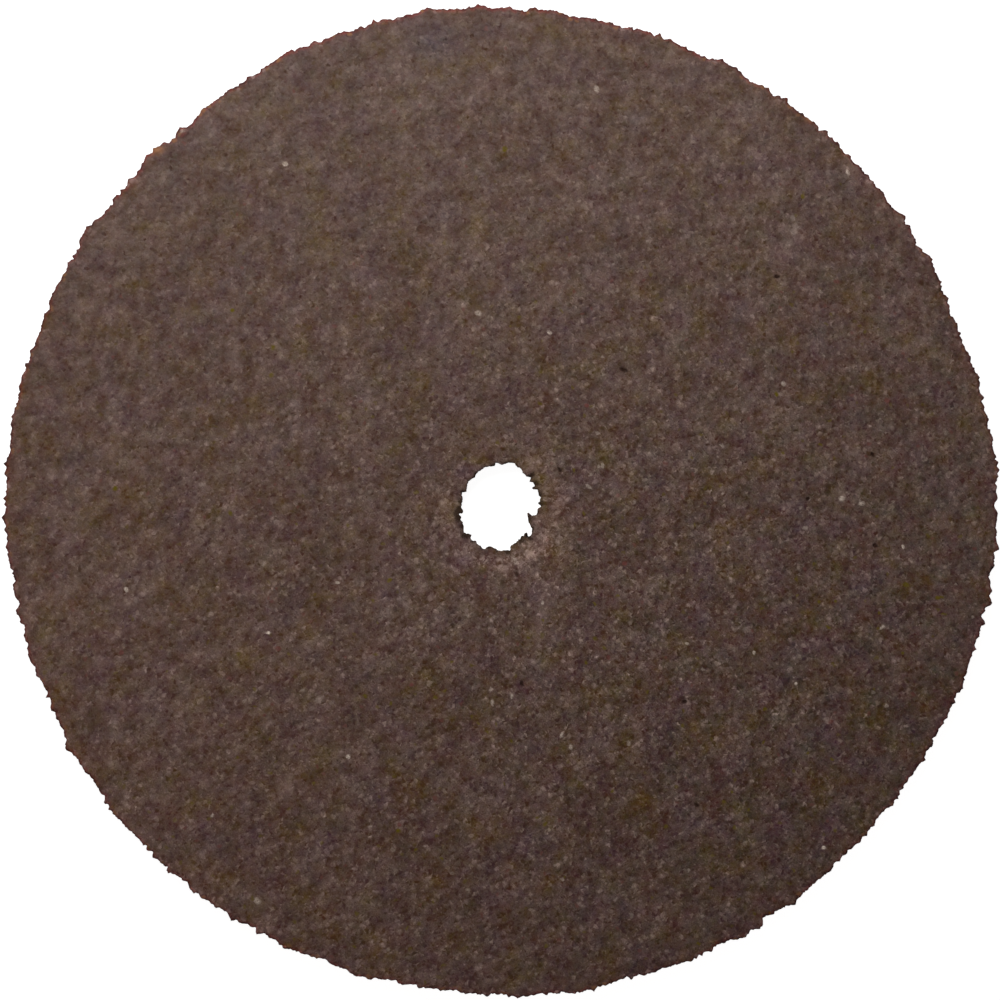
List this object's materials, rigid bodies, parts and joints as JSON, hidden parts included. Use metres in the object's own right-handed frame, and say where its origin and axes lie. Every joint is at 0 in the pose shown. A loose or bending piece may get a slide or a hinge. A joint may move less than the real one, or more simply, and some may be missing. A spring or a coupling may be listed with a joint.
{
  "type": "unmounted abrasive cut-off disc",
  "caption": "Thin round cut-off disc of resin-bonded brown abrasive grain, with a plain arbor hole and a ragged rim, for a small rotary tool.",
  "frame": {"origin": "on the arbor hole's axis, at the underside that the disc lies on", "axes": "+Z along the arbor hole, up through the disc; +X to the picture's right and +Y to its top"},
  "size_m": [0.0242, 0.0241, 0.0006],
  "materials": {
    "bonded_grain": "matt, gritty pressed grain in resin, mauve and olive brown"
  },
  "bodies": {
    "root": {"abrasive_disc": "bonded_grain"}
  },
  "joints": []
}
